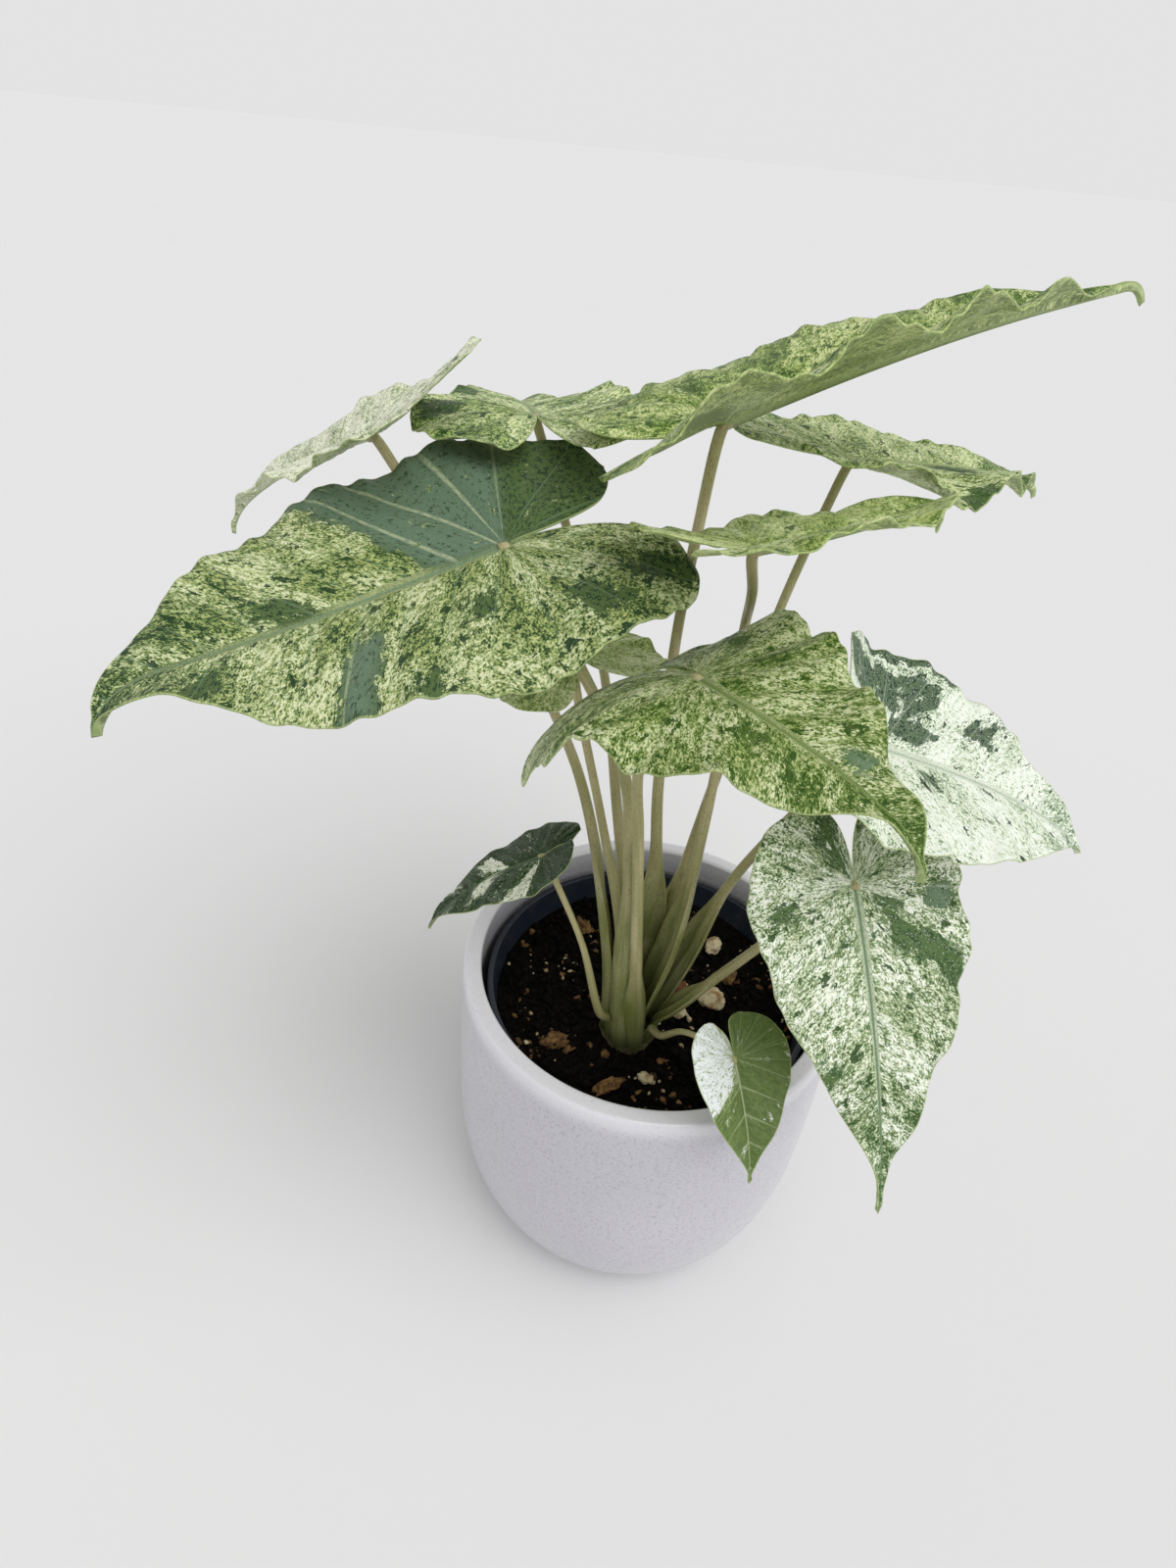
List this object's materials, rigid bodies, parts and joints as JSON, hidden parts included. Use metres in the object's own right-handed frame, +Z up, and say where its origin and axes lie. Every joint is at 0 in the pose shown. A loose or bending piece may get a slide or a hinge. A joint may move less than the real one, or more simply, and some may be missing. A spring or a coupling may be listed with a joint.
{
  "type": "potted batik alocasia odora",
  "caption": "Variegated elephant-ear houseplant with heart-shaped wavy leaves on long stalks, in a dark nursery pot standing inside a rounded white glazed ceramic pot.",
  "frame": {"origin": "centre of the ceramic pot's underside, on the plane it stands on", "axes": "+Z up, the front of the picture facing -Y, +X to its right"},
  "size_m": [0.2677, 0.2333, 0.3258],
  "materials": {
    "ceramic_pot": "glossy white glaze",
    "nursery_pot": "thin dark plastic",
    "soil": "damp dark potting mix",
    "crown": "fibrous corm",
    "pumice": "rough, porous",
    "bark": "rough bark",
    "dry_scale": "dry papery husk",
    "petiole": "smooth, finely speckled stalk",
    "blade": "satin leaf, speckled green on cream"
  },
  "bodies": {
    "root": {"ceramic_pot": "ceramic_pot", "nursery_pot": "nursery_pot", "soil": "soil", "crown": "crown", "pumice_1": "pumice", "pumice_2": "pumice", "pumice_3": "pumice", "pumice_4": "pumice", "bark_1": "bark", "bark_2": "bark", "bark_3": "bark", "bark_4": "bark", "dry_scale": "dry_scale", "petiole_01": "petiole", "petiole_02": "petiole", "petiole_03": "petiole", "petiole_04": "petiole", "petiole_05": "petiole", "petiole_06": "petiole", "petiole_07": "petiole", "petiole_08": "petiole", "petiole_09": "petiole", "petiole_10": "petiole", "petiole_11": "petiole", "petiole_12": "petiole", "blade_01": "blade", "blade_02": "blade", "blade_03": "blade", "blade_04": "blade", "blade_05": "blade", "blade_06": "blade", "blade_07": "blade", "blade_08": "blade", "blade_09": "blade", "blade_10": "blade", "blade_11": "blade", "blade_12": "blade"}
  },
  "joints": []
}
